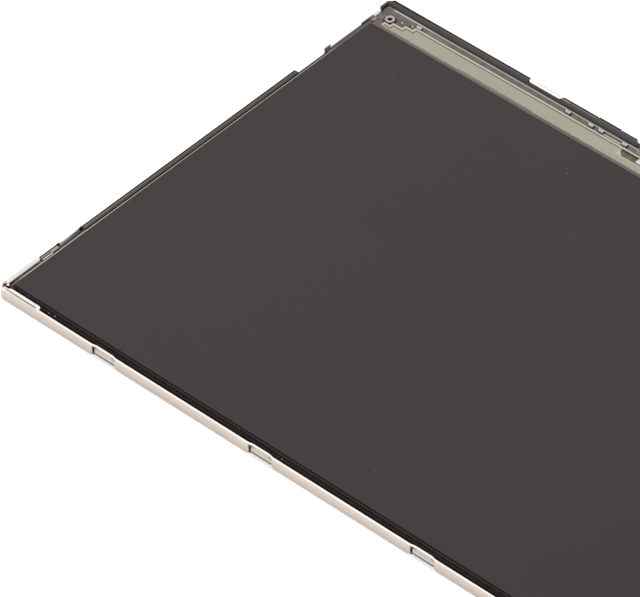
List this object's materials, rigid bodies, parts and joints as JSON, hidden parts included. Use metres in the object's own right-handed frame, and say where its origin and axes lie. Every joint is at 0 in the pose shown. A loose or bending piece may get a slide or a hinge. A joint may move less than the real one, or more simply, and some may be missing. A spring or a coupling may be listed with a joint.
{
  "type": "lcd screen panel",
  "caption": "Flat LCD screen module: a dark polarised display in a shallow folded steel tray, with a narrow driver board along one long edge and a flat plug-in signal flex.",
  "frame": {"origin": "middle of the tray's outline on its flat rear face", "axes": "+X along the long side, +Y towards the board's edge, +Z out of the display"},
  "size_m": [0.1612, 0.1192, 0.0028],
  "materials": {
    "tray_steel": "bright galvanised sheet, satin",
    "frame_black": "matt black moulding",
    "sheet_white": "matt white film",
    "guide_clear": "polished clear acrylic",
    "sheet_milky": "milky film",
    "flex_amber": "amber flexible circuit",
    "led_white": "white moulding",
    "tape_black": "matt black tape",
    "polariser_dark": "dark anti-glare film",
    "glass_clear": "thin cut glass",
    "silicon_grey": "polished die",
    "film_olive": "pale yellow-green protective film",
    "pad_grey": "pale grey-olive film",
    "board_olive": "dark solder mask",
    "eyelet_metal": "dull plated",
    "solder": "bright solder",
    "chip_ceramic": "pale ceramic with tinned ends",
    "contact_gold": "gold plated"
  },
  "bodies": {
    "root": {"rear_tray": "tray_steel", "mould_frame": "frame_black", "reflector_sheet": "sheet_white", "light_guide": "guide_clear", "diffuser_sheet": "sheet_milky", "lower_prism_sheet": "sheet_milky", "upper_prism_sheet": "sheet_milky", "led_flex": "flex_amber", "leds": "led_white", "seat_tape": "tape_black", "rear_polariser": "polariser_dark", "base_glass": "glass_clear", "cover_glass": "glass_clear", "front_polariser": "polariser_dark", "driver_chips": "silicon_grey", "bond_strip": "flex_amber", "ledge_film": "film_olive", "film_pad": "pad_grey", "driver_board": "board_olive", "ground_eyelet": "eyelet_metal", "test_points": "solder", "capacitors": "chip_ceramic", "resistors": "chip_ceramic", "power_chips": "chip_ceramic", "signal_flex": "flex_amber", "flex_stiffener": "flex_amber", "flex_contacts": "contact_gold"}
  },
  "joints": []
}
